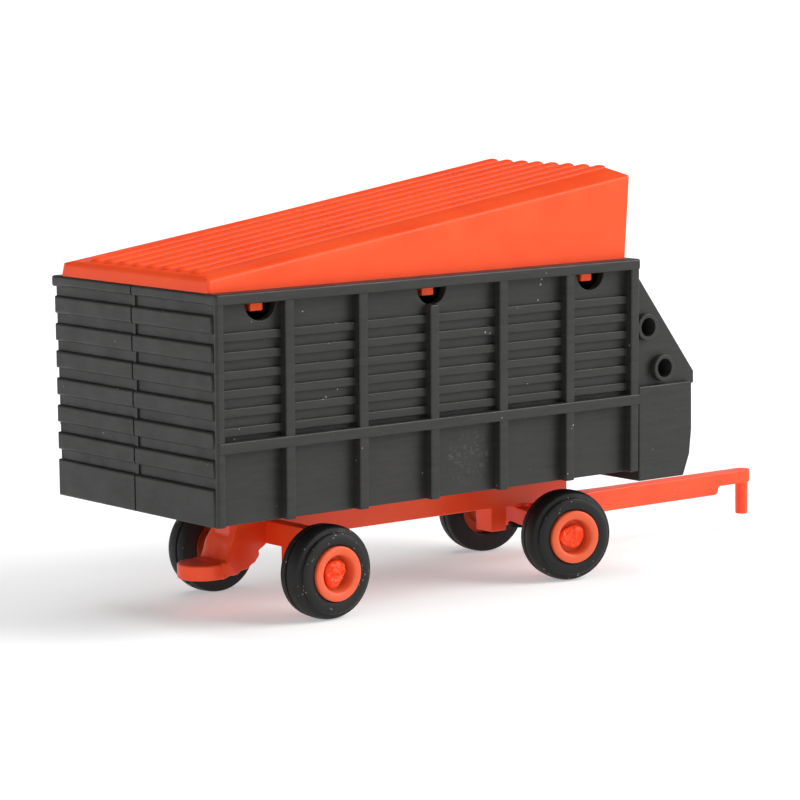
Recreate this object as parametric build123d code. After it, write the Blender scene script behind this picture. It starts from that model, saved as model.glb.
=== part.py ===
from build123d import *
import math
import os

# Toy forage wagon, 1/64 scale, in millimetres.
# X points forward (towards the drawbar), Y to the left, Z up, and the origin is on the ground
# below the middle of the overall box. Places along the wagon are given from the rear face.

# sizes that most others follow
box_length = 72.2
box_half_width = 18.9          # over the posts, at the floor
box_height = 30.0
wheel_radius = 6.35
wheel_headroom = 2.25          # box floor above the top of the tyres
spine_depth = 6.0
floor_z = 2 * wheel_radius + wheel_headroom
spine_underside = floor_z - spine_depth

# box
box_lean = 0.34                # each side leans out this much by the top
wall = 1.2
floor_thickness = 1.3
post_proud = 1.45              # posts stand this far off the side panel
post_width = 1.5
post_count = 6
rear_bay = 12.4                # rear face to the front of the rearmost post
post_inset = 0.1               # front post behind the box end
post_pitch = (box_length - post_inset - rear_bay) / (post_count - 1)
corner_post_width = 1.33
rail_height = 1.5
rail_proud = 0.15              # rails stand this far off the posts
mid_rail_z = 9.5               # underside, above the floor
slat_count = 6
slat_height = 1.18
slat_first = 0.51              # lowest slat above the middle rail
slat_top_margin = 5.11         # highest slat below the top of the box
slat_rise = box_height - mid_rail_z - rail_height - slat_first - slat_height - slat_top_margin
slat_pitch = slat_rise / (slat_count - 1)
slat_proud = 0.7
window_radius = 2.45           # half-round windows below the top rail
window_end = 8.0               # outer windows from each end of the box
window_places = (window_end, box_length / 2, box_length - window_end)
rear_rib_count = 6
rear_rib_proud = 0.6
rear_rib_inset = 0.1           # ends of the ribs inside the posts' outer face
rear_rim_height = 1.4
rear_foot_height = 4.99        # plain band below the ribs
rear_band_gap = 1.35           # valley between two ribs
rear_rib_pitch = (box_height - rear_rim_height - rear_band_gap - rear_foot_height) / rear_rib_count
rear_rib_height = rear_rib_pitch - rear_band_gap
seam_width = 0.3
seam_depth = 0.35

# roof
roof_inset = 2.05              # roof side inside the rail's outer face, at its foot
roof_rear = 0.3
roof_rear_lean = 0.3
roof_front_gap = 1.0           # foot of the front face behind the box end
roof_lean = 1.0                # front face leans forward by this much
roof_wall = 1.2
roof_rear_height = 1.7
roof_front_height = 11.6
roof_draft = 0.3
shoulder_fall = 0.183          # slope of the shoulders, outside the ribbed crown
crown_rear_rise = 0.3          # crown above the shoulder's outer crease, at the rear
crown_front_rise = 0.9         # and at the front
roof_rib_count = 8
roof_rib_margin = 5.5          # half a pitch outside the last rib, from the posts' outer face
roof_rib_pitch = (box_half_width - roof_rib_margin) / (roof_rib_count / 2)
roof_rib_width = 1.6
roof_rib_height = 0.42
roof_rib_start = 1.0            # ribs stop short of the rear and front edges
roof_rib_stop = 0.25
lug_width = 2.0
lug_depth = 2.75               # below the top of the box
lug_thickness = 1.55
lug_nose = 0.5                 # reaches this far out below the rail
lug_clearance = 0.15

# front unloading unit
unit_length = 10.1             # conveyor housing, along X
unit_nose = 1.35               # cheek nose in front of the housing
unit_drop = 1.45               # housing hangs below the box floor
unit_clearance = 0.2           # between the housing and the spine below it
unit_housing_height = 13.4
cheek_inset = 1.3
cheek_top = box_height - 2.8   # above the floor
cheek_nose_z = 13.5
cheek_top_length = 1.0
boss_radius = 1.9
boss_bore_radius = 1.33
boss_depth = 1.1
boss_places = ((1.8, cheek_top - 6.95), (4.9, cheek_nose_z + 0.75))
slope_rib_count = 6
slope_rib_height = 0.5
peg_radius = 0.9
peg_clearance = 0.05
peg_spread = box_half_width - 3.7       # pegs either side of the middle
peg_heights = (5.0, cheek_top - 8.2)    # above the floor, in the housing and in the cheeks
peg_pad = 1.5

# running gear
spine_half_width = 1.75
spine_rear = 13.8
spine_front = box_length + 1.5
rear_axle_x = 20.8
front_axle_x = box_length - 6.0
steer_angle = -12.67
stub_radius = 1.2
stub_start = 10.44             # outer face of the axle bolster, from the middle
wheel_bore_clearance = 0.06
wheel_end_play = 0.12
wheel_slide = 1.26             # wheels float this far: the right-hand ones out, the left-hand ones in
rear_bolster_thickness = 2.0
bolster_top = spine_underside + 2.85
bolster_underside = spine_underside - 0.35
bolster_leg_start = 5.1
bolster_leg_bottom = wheel_radius - 1.6
front_beam_thickness = 2.6
front_beam_underside = wheel_radius - 0.25
turntable_radius = 2.4
turntable_gap = 0.08
turntable_height = 0.4
kingpin_radius = 0.95
kingpin_clearance = 0.05
kingpin_head_radius = 1.7
kingpin_head_height = 0.5
kingpin_reach = 4.0
lug_rear_gap = 4.0             # steering slot, from the axle line to the rear lug
lug_front_gap = 3.0            # and to the drawbar root
rear_lug_length = 2.8
rear_lug_bottom = spine_underside - 3.4

# wheels
tyre_width = 4.6
tyre_inset = 0.35              # tyre side behind the rim's outer face
rim_radius = 0.5843 * wheel_radius
rim_recess_radius = 0.389 * wheel_radius
rim_width = tyre_width + tyre_inset
rim_hollow = 1.2               # rim set in from the tyre's inner side, around the hub
rim_hub_radius = 0.315 * wheel_radius
rim_hub_length = rim_width - 1.85
stub_head_radius = 0.75 * rim_recess_radius
tyre_shoulder_drop = 0.25
tyre_crown_flat = 1.5
tyre_groove_depth = 0.35
tyre_groove_width = 0.35

# drawbar and hitches
drawbar_underside = spine_underside - 2.95
drawbar_height = 3.25
drawbar_top = drawbar_underside + drawbar_height
drawbar_half_width = 1.25
drawbar_taper_length = 9.0
hitch_pin_x = box_length + 38.2
hitch_pin_radius = 0.98
hitch_pin_bottom = drawbar_underside - 3.6
hitch_plate_underside = drawbar_underside + 1.25
hitch_plate_length = 5.9
tab_x = 10.5
tab_radius = 3.4
tab_underside = spine_underside - 4.05
tab_thickness = 2.1
tab_hole_radius = 1.1
tab_neck_rise = 2.7

# screws through the spine into the box floor
screw_places = (rear_axle_x + 6.2, front_axle_x - 14.2)
screw_radius = 0.6
screw_head_radius = 1.1
screw_head_height = 0.8
screw_head_recess = 1.0
screw_clearance = 0.05
screw_boss_radius = 1.6
screw_boss_height = 3.2

# places worked out from the sizes above
overall_length = hitch_pin_x + drawbar_half_width
box_top = floor_z + box_height
panel_face = box_half_width - post_proud
lean_angle = math.degrees(math.atan2(box_lean, box_height))
steer_place = Pos(front_axle_x, 0, 0) * Rot(0, 0, steer_angle)
rim_start = stub_start + wheel_end_play + wheel_slide
hub_end = rim_start + rim_hub_length
rim_face = rim_start + rim_width
stub_head_start = hub_end + wheel_end_play
stub_head_end = rim_face - 0.4


def block(x0, x1, y0, y1, z0, z1):
    """A box given by its low and high corners."""
    return Pos((x0 + x1) / 2, (y0 + y1) / 2, (z0 + z1) / 2) * Box(x1 - x0, y1 - y0, z1 - z0)


def bar_y(radius, y0, y1, x=0, z=0):
    """A round bar along Y between y0 and y1."""
    return Pos(x, (y0 + y1) / 2, z) * Rot(90, 0, 0) * Cylinder(radius, abs(y1 - y0))


def bar_z(radius, z0, z1, x=0, y=0):
    """A round bar along Z between z0 and z1."""
    return Pos(x, y, (z0 + z1) / 2) * Cylinder(radius, z1 - z0)


def side_profile(points, y0, y1):
    """A solid from an outline in the XZ plane, between y0 and y1."""
    outline = make_face(Polyline([(x, 0, z) for x, z in points], close=True))
    return Pos(0, y0, 0) * extrude(outline, amount=y1 - y0, dir=(0, 1, 0))


def turned(profile):
    """A solid of revolution about Y from (radius, y) points."""
    outline = make_face(Polyline([(r, y, 0) for r, y in profile], close=True))
    return revolve(outline, axis=Axis.Y)


def mirrored(shape):
    return mirror(shape, about=Plane.XZ)


def box_side():
    """Right side of the box: panel, posts, rails and slats, with the windows cut."""
    face = -box_half_width
    inner = -panel_face + wall
    panel = block(corner_post_width / 2, box_length, -panel_face, inner, floor_z, box_top)
    side = panel + block(rear_rib_proud, corner_post_width, face, inner, floor_z, box_top)
    slat_base = floor_z + mid_rail_z + rail_height + slat_first
    for row in range(slat_count):
        z = slat_base + row * slat_pitch
        side += block(corner_post_width, box_length - post_width, -panel_face - slat_proud,
                      -panel_face + 0.1, z, z + slat_height)
    for number in range(post_count):
        front = box_length - post_inset - number * post_pitch
        side += block(front - post_width, front, face, -panel_face + 0.1, floor_z, box_top)
    rail_top_z = box_top - rail_height
    for place in window_places:
        window = bar_y(window_radius, face - 1, inner + 1, place, rail_top_z)
        side -= window & block(0, box_length, face - 1, inner + 1, floor_z, rail_top_z)
    side += block(0, box_length, face - rail_proud, inner, rail_top_z, box_top)
    mid_z = floor_z + mid_rail_z
    side += block(0, box_length, face - rail_proud, -panel_face + 0.1, mid_z, mid_z + rail_height)
    hinge = Pos(0, face, floor_z)
    side = hinge * Rot(lean_angle, 0, 0) * hinge.inverse() * side
    return side & block(-1, box_length + 1, face - 2, 0, floor_z, box_top)


def rear_wall():
    """Right half of the ribbed rear wall."""
    edge = rear_rib_inset - box_half_width
    back = rear_rib_proud + wall
    shape = block(rear_rib_proud, back, edge, 0, floor_z, box_top)
    shape += block(0, back, edge, 0, box_top - rear_rim_height, box_top)
    first_top = box_top - rear_rim_height - rear_band_gap
    for number in range(rear_rib_count):
        z = first_top - number * rear_rib_pitch
        shape += block(0, back, edge, 0, z - rear_rib_height, z)
    last_top = first_top - rear_rib_count * rear_rib_pitch
    shape += block(0, back, edge, 0, floor_z, last_top)
    return shape - block(-1, seam_depth, -seam_width / 2, 1, floor_z - 1, box_top + 1)


def front_wall():
    """Right half of the front wall, with the holes for the unit's pegs."""
    shape = block(box_length - wall, box_length, -panel_face, 0, floor_z, box_top)
    for z in peg_heights:
        hole = Pos(box_length, -peg_spread, floor_z + z) * Rot(0, 90, 0)
        shape -= hole * Cylinder(peg_radius + peg_clearance, 4 * wall)
    return shape


def box_half():
    """Right half of the box, joined on the middle plane by the screw bosses."""
    shape = box_side() + rear_wall() + front_wall()
    shape += block(0.1, box_length, -panel_face, 0, floor_z, floor_z + floor_thickness)
    boss_top = floor_z + floor_thickness + screw_boss_height
    for place in screw_places:
        shape += bar_z(screw_boss_radius, floor_z, boss_top, place)
        shape -= bar_z(screw_radius, floor_z - 1, boss_top + 1, place)
    shape -= block(-1, box_length + 1, 0, box_half_width, 0, box_top + 5)
    return shape


def below(shape, origin, normal):
    """What is left of a solid behind a plane, on both sides of the middle."""
    for side in (1, -1):
        plane = Plane(origin=(origin[0], side * origin[1], origin[2]),
                      z_dir=(normal[0], side * normal[1], normal[2]))
        shape = split(shape, bisect_by=plane, keep=Keep.BOTTOM)
    return shape


def roof_hull(inset):
    """Closed wedge of the roof, moved inwards by inset on every side but the foot."""
    foot_half = box_half_width + box_lean + rail_proud - roof_inset - inset
    foot_z = box_top - (0.5 if inset else 0)
    rear_x = roof_rear + inset
    front_x = box_length - roof_front_gap - inset
    rear_crease = box_top + roof_rear_height - inset
    front_crease = box_top + roof_front_height - inset
    profile = [(rear_x, foot_z), (front_x, foot_z), (front_x + roof_lean, front_crease + crown_front_rise),
               (rear_x + roof_rear_lean, rear_crease + crown_rear_rise)]
    hull = side_profile(profile, -foot_half, foot_half)
    draft = roof_draft / roof_front_height
    hull = below(hull, (0, -foot_half, box_top), (0, -1, draft))
    slope = roof_slope(0, 0)
    eave_y = foot_half - roof_draft / 2
    return below(hull, (rear_x + roof_rear_lean, -eave_y, rear_crease), (-math.tan(slope), -shoulder_fall, 1))


def roof_slope(rear_rise, front_rise):
    """Angle above level of a line along the roof, this far above the crease at its two ends."""
    run = box_length - roof_front_gap + roof_lean - roof_rear - roof_rear_lean
    return math.atan2(roof_front_height + front_rise - roof_rear_height - rear_rise, run)


def roof_cover():
    """Ribbed wedge roof with six lugs that reach into the box's windows."""
    shape = roof_hull(0) - roof_hull(roof_wall)
    rear_x = roof_rear + roof_rear_lean
    rear_z = box_top + roof_rear_height + crown_rear_rise
    front_x = box_length - roof_front_gap + roof_lean
    slope = roof_slope(crown_rear_rise, crown_front_rise)
    plate = Plane(origin=(rear_x, 0, rear_z), x_dir=(math.cos(slope), 0, math.sin(slope)),
                  z_dir=(-math.sin(slope), 0, math.cos(slope)))
    rib_length = (front_x - rear_x) / math.cos(slope) - roof_rib_start - roof_rib_stop
    for number in range(roof_rib_count):
        y = (number - (roof_rib_count - 1) / 2) * roof_rib_pitch
        middle = Pos(roof_rib_start + rib_length / 2, y, -0.3)
        outline = SlotOverall(rib_length, roof_rib_width)
        shape += plate * middle * extrude(outline, roof_rib_height + 0.3)
    panel_inner = panel_face - wall + box_lean
    lug_outer = panel_inner - lug_clearance
    for place in window_places:
        tab = block(place - lug_width / 2, place + lug_width / 2, -lug_outer,
                    -lug_outer + lug_thickness, box_top - lug_depth, box_top + 0.6)
        nose_top = box_top - rail_height - lug_clearance
        nose = block(place - lug_width / 2, place + lug_width / 2, -lug_outer - lug_nose,
                     -lug_outer + 0.2, box_top - lug_depth, nose_top)
        lug = tab + nose
        shape += lug + mirrored(lug)
    return shape


def front_unit():
    """Unloading unit: two cheeks with bosses, sloping front, and the conveyor housing below."""
    rear = box_length
    front = rear + unit_length
    half = box_half_width
    low = floor_z - unit_drop
    housing_top = low + unit_housing_height
    cheek_y = half - cheek_inset
    outline = [(rear, low), (front - 1.6, low), (front - 0.4, low + 3.0), (front, low + 6.5),
               (front, housing_top), (rear, housing_top)]
    shape = side_profile(outline, -half, half)
    cavity = [(rear - 1, low + wall), (front - 2.4, low + wall), (front - wall - 0.4, low + 3.2),
              (front - wall, low + 6.6), (front - wall, housing_top - wall), (rear - 1, housing_top - wall)]
    shape -= side_profile(cavity, -half + wall, half - wall)
    nose_x = front + unit_nose
    nose_z = floor_z + cheek_nose_z
    cheek = [(rear, housing_top - wall), (nose_x, housing_top - wall), (nose_x, nose_z),
             (rear + cheek_top_length, floor_z + cheek_top), (rear, floor_z + cheek_top)]
    cheeks = side_profile(cheek, -cheek_y, cheek_y)
    inside = [(rear - 1, housing_top - 2 * wall), (nose_x - wall, housing_top - 2 * wall),
              (nose_x - wall, nose_z - 0.4), (rear + cheek_top_length - wall * 0.7, floor_z + cheek_top - wall),
              (rear - 1, floor_z + cheek_top - wall)]
    shape += cheeks - side_profile(inside, -cheek_y + wall, cheek_y - wall)
    shape -= block(rear - 1, front - wall, -cheek_y + wall, cheek_y - wall, housing_top - 2 * wall,
                   housing_top + 0.2)
    for x, z in boss_places:
        boss = bar_y(boss_radius, -half, -cheek_y + 0.2, rear + x, floor_z + z)
        boss -= bar_y(boss_bore_radius, -half - 1, -half + boss_depth, rear + x, floor_z + z)
        boss &= block(rear, nose_x, -half - 1, 0, low, floor_z + cheek_top)
        shape += boss + mirrored(boss)
    run_x = nose_x - rear - cheek_top_length
    run_z = floor_z + cheek_top - nose_z
    for number in range(slope_rib_count):
        share = (number + 0.5) / slope_rib_count
        x = nose_x - share * run_x
        z = nose_z + share * run_z
        rib = Pos(x, 0, z) * Rot(0, math.degrees(math.atan2(run_z, run_x)), 0)
        shape += rib * Box(1.1, 2 * (cheek_y - wall), 2 * slope_rib_height)
    for z, wall_y in zip(peg_heights, (half, cheek_y)):
        peg = Pos(rear, -peg_spread, floor_z + z) * Rot(0, 90, 0) * Cylinder(peg_radius, 2 * wall)
        peg += block(rear, rear + wall, 0.3 - wall_y, peg_pad - peg_spread,
                     floor_z + z - peg_pad, floor_z + z + peg_pad)
        shape += peg + mirrored(peg)
    return shape


def stub_axle():
    """Stub axle on the right side, with its closed-over head, about the wheel's axis."""
    shape = bar_y(stub_radius, -stub_head_end, -stub_start + 0.5, 0, wheel_radius)
    return shape + bar_y(stub_head_radius, -stub_head_end, -stub_head_start, 0, wheel_radius)


def chassis_frame():
    """Spine beam with the rear bolster, rear tab, front lug, drawbar and hitch pin in one piece."""
    half = spine_half_width
    shape = block(spine_rear, spine_front, -half, half, spine_underside, floor_z)
    shape -= block(box_length - 0.1, spine_front + 1, -half - 1, half + 1,
                   floor_z - unit_drop - unit_clearance, floor_z + 1)

    tab_top = tab_underside + tab_thickness
    neck = [(tab_x, tab_underside), (tab_x + 6.5, tab_underside + 0.6), (tab_x + 7.4, tab_underside + 2.0),
            (tab_x + 9.2, spine_underside), (spine_rear, spine_underside + 0.5),
            (spine_rear, tab_top + tab_neck_rise / 2), (tab_x + 0.6, tab_top), (tab_x, tab_top)]
    shape += side_profile(neck, -half, half)
    shape += bar_z(tab_radius, tab_underside, tab_top, tab_x)
    shape -= bar_z(tab_hole_radius, tab_underside - 1, tab_top + 1, tab_x)

    x0 = rear_axle_x - rear_bolster_thickness / 2
    x1 = rear_axle_x + rear_bolster_thickness / 2
    shape += block(x0, x1, -stub_start, stub_start, bolster_underside, bolster_top)
    for side in (-1, 1):
        y0, y1 = sorted((side * bolster_leg_start, side * stub_start))
        shape += block(x0, x1, y0, y1, bolster_leg_bottom, bolster_top)
    stub = Pos(rear_axle_x, 0, 0) * stub_axle()
    shape += stub + mirrored(stub)

    slot_rear = front_axle_x - lug_rear_gap
    shape += block(slot_rear - rear_lug_length, slot_rear, -half, half, rear_lug_bottom, spine_underside + 0.1)
    root = front_axle_x + lug_front_gap
    shape += block(root, spine_front, -half, half, drawbar_underside, spine_underside + 0.1)

    taper_end = spine_front + drawbar_taper_length
    bar = [(spine_front - 0.1, half), (taper_end, drawbar_half_width), (hitch_pin_x, drawbar_half_width),
           (hitch_pin_x, -drawbar_half_width), (taper_end, -drawbar_half_width), (spine_front - 0.1, -half)]
    outline = make_face(Polyline([(x, y, drawbar_underside) for x, y in bar], close=True))
    shape += extrude(outline, amount=drawbar_top - drawbar_underside, dir=(0, 0, 1))
    shape += bar_z(drawbar_half_width, drawbar_underside, drawbar_top, hitch_pin_x)
    shape -= block(hitch_pin_x - hitch_plate_length, hitch_pin_x + 5, -5, 5, 0, hitch_plate_underside)
    shape += bar_z(hitch_pin_radius, hitch_pin_bottom, drawbar_top - 0.5, hitch_pin_x)

    shape -= bar_z(kingpin_radius, spine_underside - 1, spine_underside + kingpin_reach, front_axle_x)
    head_seat = spine_underside + screw_head_recess + screw_head_height
    for place in screw_places:
        shape -= bar_z(screw_radius + screw_clearance, spine_underside - 1, floor_z + 1, place)
        shape -= bar_z(screw_head_radius + screw_clearance, spine_underside - 1, head_seat, place)
    return shape


def front_axle():
    """Steered axle: a beam with a turntable boss, two legs and two stub axles."""
    half = front_beam_thickness / 2
    boss_top = spine_underside - turntable_gap
    beam_top = boss_top - turntable_height
    shape = block(-half, half, -stub_start, stub_start, front_beam_underside, beam_top)
    for side in (-1, 1):
        y0, y1 = sorted((side * bolster_leg_start, side * stub_start))
        shape += block(-half, half, y0, y1, bolster_leg_bottom, beam_top)
    shape += bar_z(turntable_radius, beam_top - 0.5, boss_top)
    shape &= block(-half, half, -stub_start, stub_start, 0, floor_z)
    stub = stub_axle()
    shape += stub + mirrored(stub)
    shape -= bar_z(kingpin_radius + kingpin_clearance, 0, floor_z)
    return steer_place * shape


def kingpin():
    """Headed pin, fast in the spine, on which the front axle steers."""
    head_top = front_beam_underside - turntable_gap
    shape = bar_z(kingpin_radius, head_top - 0.1, spine_underside + kingpin_reach, front_axle_x)
    return shape + bar_z(kingpin_head_radius, head_top - kingpin_head_height, head_top, front_axle_x)


def body_screw(place):
    head_top = spine_underside + screw_head_recess + screw_head_height
    tip = floor_z + floor_thickness + screw_boss_height - 0.4
    shape = bar_z(screw_radius, head_top - 0.1, tip, place)
    shape += bar_z(screw_head_radius, head_top - screw_head_height, head_top, place)
    slot = block(place - 2, place + 2, -0.15, 0.15, 0, head_top - screw_head_height + 0.35)
    return shape - slot


def rim():
    """Right-hand rim, outer face towards -Y, about the wheel's axis at the origin."""
    bore = stub_radius + wheel_bore_clearance
    barrel = rim_start + rim_hollow
    profile = [(bore, -rim_start), (rim_hub_radius, -rim_start), (rim_hub_radius, -barrel),
               (rim_radius, -barrel), (rim_radius, -rim_face), (rim_recess_radius, -rim_face),
               (rim_recess_radius, -hub_end), (bore, -hub_end)]
    return turned(profile)


def tyre():
    """Right-hand tyre with a crowned tread and two grooves."""
    outer = rim_face - tyre_inset
    inner = outer - tyre_width
    middle = (inner + outer) / 2
    edge_radius = wheel_radius - tyre_shoulder_drop
    profile = [(rim_radius, -inner - 0.3), (rim_radius + 0.9, -inner), (edge_radius - 0.3, -inner - 0.05),
               (edge_radius, -inner - 0.35), (wheel_radius, -middle + tyre_crown_flat / 2),
               (wheel_radius, -middle - tyre_crown_flat / 2), (edge_radius, -outer + 0.75),
               (edge_radius - 0.5, -outer + 0.3), (rim_radius + 0.9, -outer), (rim_radius, -outer + 0.2)]
    shape = turned(profile)
    for side in (-1, 1):
        y = -middle + side * (tyre_crown_flat / 2 + tyre_groove_width / 2)
        ring = bar_y(wheel_radius + 1, y - tyre_groove_width / 2, y + tyre_groove_width / 2)
        ring -= bar_y(wheel_radius - tyre_groove_depth, y - 1, y + 1)
        shape -= ring
    return shape


def wheel_places():
    """Where the right-hand wheel goes for each of the four corners."""
    rear = Pos(rear_axle_x, 0, wheel_radius)
    front = steer_place * Pos(0, 0, wheel_radius)
    turn = Rot(0, 0, 180) * Pos(0, wheel_slide, 0)
    return {"front_right": front, "front_left": front * turn, "rear_right": rear, "rear_left": rear * turn}


def main():
    right_half = box_half()
    nodes = {
        "body_right": right_half,
        "body_left": mirrored(right_half),
        "front_unit": front_unit(),
        "roof_cover": roof_cover(),
        "chassis_frame": chassis_frame(),
        "front_axle": front_axle(),
        "kingpin": kingpin(),
        "body_screw_rear": body_screw(screw_places[0]),
        "body_screw_front": body_screw(screw_places[1]),
    }
    for corner, place in wheel_places().items():
        nodes["rim_" + corner] = place * rim()
        nodes["tyre_" + corner] = place * tyre()
    os.makedirs("parts", exist_ok=True)
    centre = Pos(-overall_length / 2, 0, 0)
    for name, shape in nodes.items():
        export_step(centre * shape, "parts/" + name + ".step")


main()
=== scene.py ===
import math
import bpy
import bmesh
from mathutils import Matrix, Vector, noise


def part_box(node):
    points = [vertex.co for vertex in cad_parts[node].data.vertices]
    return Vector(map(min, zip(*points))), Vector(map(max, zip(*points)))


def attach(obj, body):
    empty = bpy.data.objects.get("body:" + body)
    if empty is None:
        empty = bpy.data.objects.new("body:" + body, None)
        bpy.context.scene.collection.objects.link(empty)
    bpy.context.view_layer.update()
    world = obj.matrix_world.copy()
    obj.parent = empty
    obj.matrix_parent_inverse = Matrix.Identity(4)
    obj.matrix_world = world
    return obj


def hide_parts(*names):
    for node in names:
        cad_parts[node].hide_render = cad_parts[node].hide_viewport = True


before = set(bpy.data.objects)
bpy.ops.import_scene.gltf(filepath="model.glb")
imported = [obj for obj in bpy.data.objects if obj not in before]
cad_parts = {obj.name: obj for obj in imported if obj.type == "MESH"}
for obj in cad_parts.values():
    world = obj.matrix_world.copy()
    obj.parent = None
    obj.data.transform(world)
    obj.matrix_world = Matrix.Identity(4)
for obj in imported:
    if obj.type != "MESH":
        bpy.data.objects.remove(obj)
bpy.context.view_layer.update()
print("frame loaded")

mm = 0.001
boxLow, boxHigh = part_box("body_right")
rearX = boxLow.x                     # places along the wagon are in mm from the rear face
floorZ = boxLow.z / mm
topZ = boxHigh.z / mm
boxLength = (boxHigh.x - boxLow.x) / mm


# ---- helpers

def hexColour(code):
    channels = [int(code[place:place + 2], 16) / 255 for place in (1, 3, 5)]
    return [c / 12.92 if c < 0.04045 else ((c + 0.055) / 1.055) ** 2.4 for c in channels] + [1]


def addNode(tree, kind, sockets=None, stops=(), **settings):
    # sockets take a value or another node's output; stops are (place, colour) pairs of a ramp
    node = tree.nodes.new(kind)
    for name, value in settings.items():
        setattr(node, name, value)
    for name, value in (sockets or {}).items():
        if isinstance(value, bpy.types.NodeSocket):
            tree.links.new(value, node.inputs[name])
        else:
            node.inputs[name].default_value = value
    if stops:
        elements = node.color_ramp.elements
        while len(elements) < len(stops):
            elements.new(0.5)
        for element, (place, code) in zip(elements, stops):
            element.position = place
            element.color = hexColour(code)
    return node


def perMm(size):                     # texture scale that gives features of this size in mm
    return 1000 / size


def unrepeated(items):               # each one once, in the order met
    return list(dict.fromkeys(items))


def edgesOf(faces, sharper=30):
    found = unrepeated(edge for face in faces for edge in face.edges)
    return [edge for edge in found if edge.calc_face_angle(0) > math.radians(sharper)]


def roundEdges(bm, edges, amount, segments=2):
    if amount:
        bmesh.ops.bevel(bm, geom=edges, offset=amount, offset_type="OFFSET", segments=segments,
                        affect="EDGES", profile=0.5, material=-1, clamp_overlap=True)


def addBlock(bm, x, y, z, soft=0.15, segments=2):
    made = bmesh.ops.create_cube(bm, size=1)["verts"]
    bmesh.ops.scale(bm, vec=(x[1] - x[0], y[1] - y[0], z[1] - z[0]), verts=made)
    bmesh.ops.translate(bm, vec=((x[0] + x[1]) / 2, (y[0] + y[1]) / 2, (z[0] + z[1]) / 2), verts=made)
    roundEdges(bm, unrepeated(edge for vert in made for edge in vert.link_edges), soft, segments)


def addPrism(bm, steps, y, soft=0.15, segments=2):
    # steps are (x, z) corners; a longer one (centreX, centreZ, degrees, count) turns on from the last corner
    ring = []
    for step in steps:
        if len(step) == 2:
            ring.append(bm.verts.new((step[0], y[0], step[1])))
            continue
        bm.verts.index_update()
        before = set(bm.verts)
        bmesh.ops.spin(bm, geom=[ring[-1]], cent=(step[0], y[0], step[1]), axis=(0, 1, 0),
                       angle=math.radians(step[2]), steps=step[3])
        ring += [vert for vert in bm.verts if vert not in before]
    face = bm.faces.new(ring)
    grown = bmesh.ops.extrude_face_region(bm, geom=[face])["geom"]
    far = [item for item in grown if isinstance(item, bmesh.types.BMVert)]
    bmesh.ops.translate(bm, vec=(0, y[1] - y[0], 0), verts=far)
    faces = unrepeated(f for vert in ring + far for f in vert.link_faces)
    bmesh.ops.recalc_face_normals(bm, faces=faces)
    roundEdges(bm, edgesOf(faces), soft, segments)


def addDrum(bm, radius, low, high, x=0, y=0, tip=None, soft=0.15, upright=True):
    # a round bar, standing along Z at (x, y) or lying along Y, where y is its height
    made = bmesh.ops.create_cone(bm, cap_ends=True, segments=48, radius1=radius,
                                 radius2=tip or radius, depth=high - low)["verts"]
    faces = unrepeated(face for vert in made for face in vert.link_faces)
    rims = edgesOf(faces, 60)
    if not upright:
        bmesh.ops.rotate(bm, cent=(0, 0, 0), matrix=Matrix.Rotation(math.pi / 2, 3, "X"), verts=made)
        bmesh.ops.translate(bm, vec=(x, (low + high) / 2, y), verts=made)
    else:
        bmesh.ops.translate(bm, vec=(x, y, (low + high) / 2), verts=made)
    roundEdges(bm, rims, soft, 3)


def joinInto(bm, other):
    mesh = bpy.data.meshes.new("join")
    other.to_mesh(mesh)
    other.free()
    bm.from_mesh(mesh)
    bpy.data.meshes.remove(mesh)


def mirrorAcross(bm):
    bmesh.ops.scale(bm, vec=(1, -1, 1), verts=bm.verts)
    bmesh.ops.reverse_faces(bm, faces=bm.faces)


def addPiece(bm, name, material, body, stands, place=None):
    # stands are the CAD nodes that the piece is shown for
    if place:
        bmesh.ops.transform(bm, matrix=place, verts=bm.verts)
    bmesh.ops.scale(bm, vec=(mm, mm, mm), verts=bm.verts)
    bmesh.ops.translate(bm, vec=(rearX, 0, 0), verts=bm.verts)
    mesh = bpy.data.meshes.new(name)
    bm.to_mesh(mesh)
    bm.free()
    mesh.materials.append(material)
    for face in mesh.polygons:
        face.use_smooth = True
    mesh.set_sharp_from_angle(angle=math.radians(50))
    piece = bpy.data.objects.new(name, mesh)
    bpy.context.scene.collection.objects.link(piece)
    even = piece.modifiers.new("evenShading", "WEIGHTED_NORMAL")
    even.keep_sharp = True
    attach(piece, body)
    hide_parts(*stands)


def cutRound(bm, holes):
    # holes are (radius, low, high, x) along Z, or (radius, low, high, x, z) along Y; returns the drilled bmesh
    drills = bmesh.new()
    for radius, low, high, x, *z in holes:
        addDrum(drills, radius, low, high, x=x, y=z[0] if z else 0, soft=0, upright=not z)
    solids = []
    for label, source in (("stock", bm), ("drill", drills)):
        mesh = bpy.data.meshes.new(label)
        source.to_mesh(mesh)
        source.free()
        solids.append(bpy.data.objects.new(label, mesh))
        bpy.context.scene.collection.objects.link(solids[-1])
    stock, drill = solids
    cut = stock.modifiers.new("cut", "BOOLEAN")
    cut.object = drill
    cut.operation = "DIFFERENCE"
    cut.solver = "EXACT"
    cut.use_self = True
    graph = bpy.context.evaluated_depsgraph_get()
    result = bmesh.new()
    result.from_mesh(bpy.data.meshes.new_from_object(stock.evaluated_get(graph)))
    for spare in solids:
        bpy.data.objects.remove(spare)
    return result


# ---- camera, floor and light

view = {"place": (-0.292655, -0.358310, 0.085656), "turn": -38.133, "tilt": 82.510, "roll": -0.680,
        "lens": 148.29, "film": 36, "clip": (0.01, 100)}

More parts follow.
